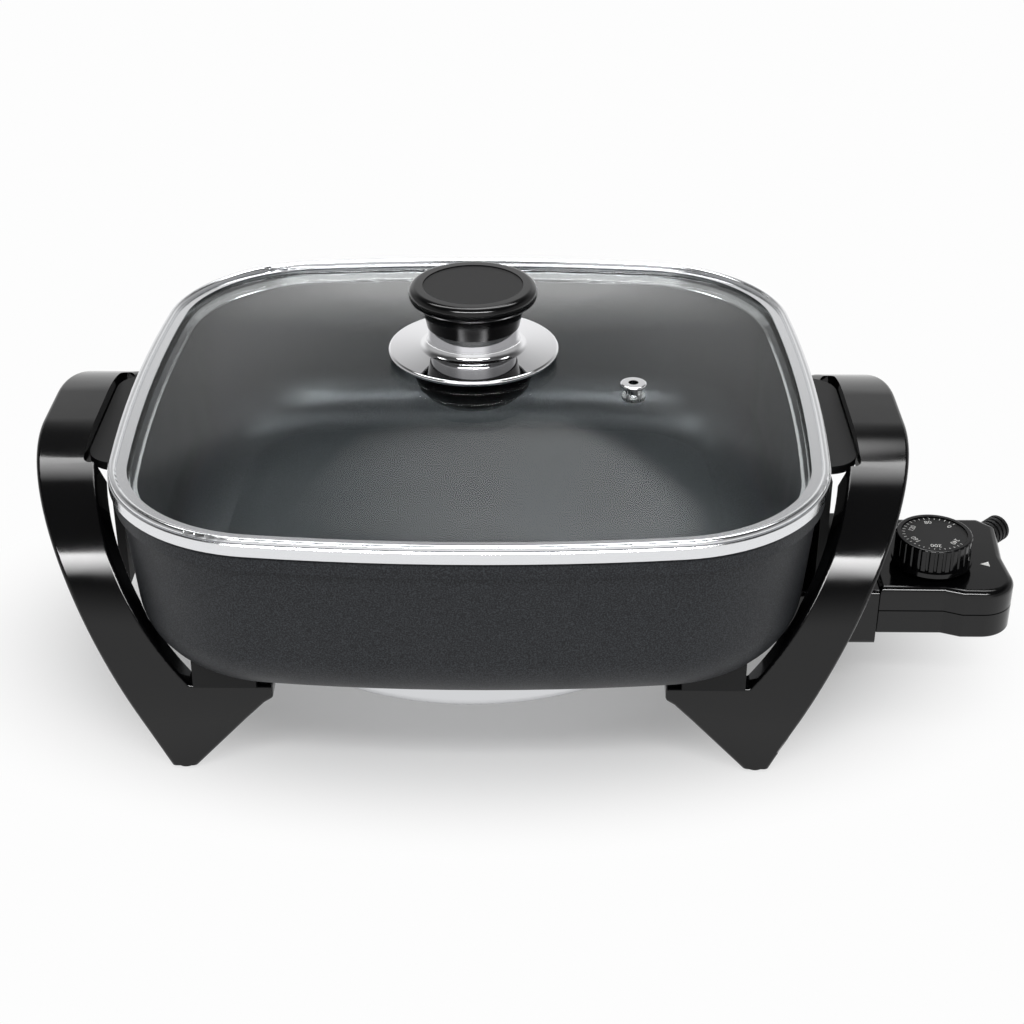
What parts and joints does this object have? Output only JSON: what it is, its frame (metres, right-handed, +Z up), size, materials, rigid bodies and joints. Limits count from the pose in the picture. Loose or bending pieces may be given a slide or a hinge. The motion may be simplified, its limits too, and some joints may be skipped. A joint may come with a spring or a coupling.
{
  "type": "electric grill pan",
  "caption": "Square electric grill pan on two arched side stands, with a lift-off glass lid, centre knob and a plug-in heat control with a dial.",
  "frame": {"origin": "on the table under the middle of the pan, where the pan's upright axis meets it", "axes": "+Z up, +X towards the heat control, -Y towards the cook"},
  "size_m": [0.4662, 0.306, 0.1897],
  "materials": {
    "pan_coating": "non-stick coating, fine sparkle",
    "cast_aluminium": "cast, turned face",
    "steel": "plain",
    "ceramic": "fired steatite",
    "phenolic": "gloss moulded",
    "matte_phenolic": "satin moulded",
    "rubber": "moulded",
    "polished_steel": "polished",
    "glass": "clear tempered",
    "brass": "turned"
  },
  "bodies": {
    "pan": {"pan_body": "pan_coating", "heater_plate": "cast_aluminium", "heater_tube": "steel", "heater_screws": "steel", "contact_pins": "steel", "pin_insulators": "ceramic", "probe_sleeve": "steel", "inlet_shroud": "phenolic", "inlet_screws": "steel", "right_stand": "phenolic", "left_stand": "phenolic", "stand_spacers": "matte_phenolic", "stand_screws": "steel", "rubber_feet": "rubber", "right_guard": "matte_phenolic", "left_guard": "matte_phenolic", "guard_screws": "steel"},
    "lid": {"lid_rim": "polished_steel", "lid_glass": "glass", "knob_grip": "phenolic", "knob_inlay": "matte_phenolic", "knob_insert": "brass", "knob_flange": "polished_steel", "knob_bush": "matte_phenolic", "knob_gasket": "rubber", "knob_seat": "phenolic", "knob_washer": "steel", "knob_screw": "steel", "vent_eyelet": "steel", "vent_washer": "steel"},
    "control": {"control_top_shell": "phenolic", "control_base_shell": "phenolic", "control_screws": "steel", "probe_stem": "steel", "probe_collar": "steel", "terminal_clips": "steel", "thermostat_frame": "steel", "insulator_stack": "ceramic", "switch_blade": "steel", "contact_points": "steel", "spindle_bush": "brass", "spindle_nut": "brass", "cord_gland": "rubber", "cord_clamp": "phenolic"},
    "dial": {"dial_knob": "phenolic", "dial_face": "matte_phenolic", "dial_spindle": "brass"}
  },
  "joints": [
    {"name": "lid_lift", "type": "slide", "parent": "pan", "child": "lid", "axis": [0, 0, 1], "range_m": [0, 0.15]},
    {"name": "control_pull", "type": "slide", "parent": "pan", "child": "control", "axis": [1, 0, 0], "range_m": [0, 0.135]},
    {"name": "dial_turn", "type": "hinge", "parent": "control", "child": "dial", "pos_m": [0.2175, -0.028, 0.06], "axis": [0, 0, -1], "range_deg": [0, 280]}
  ]
}
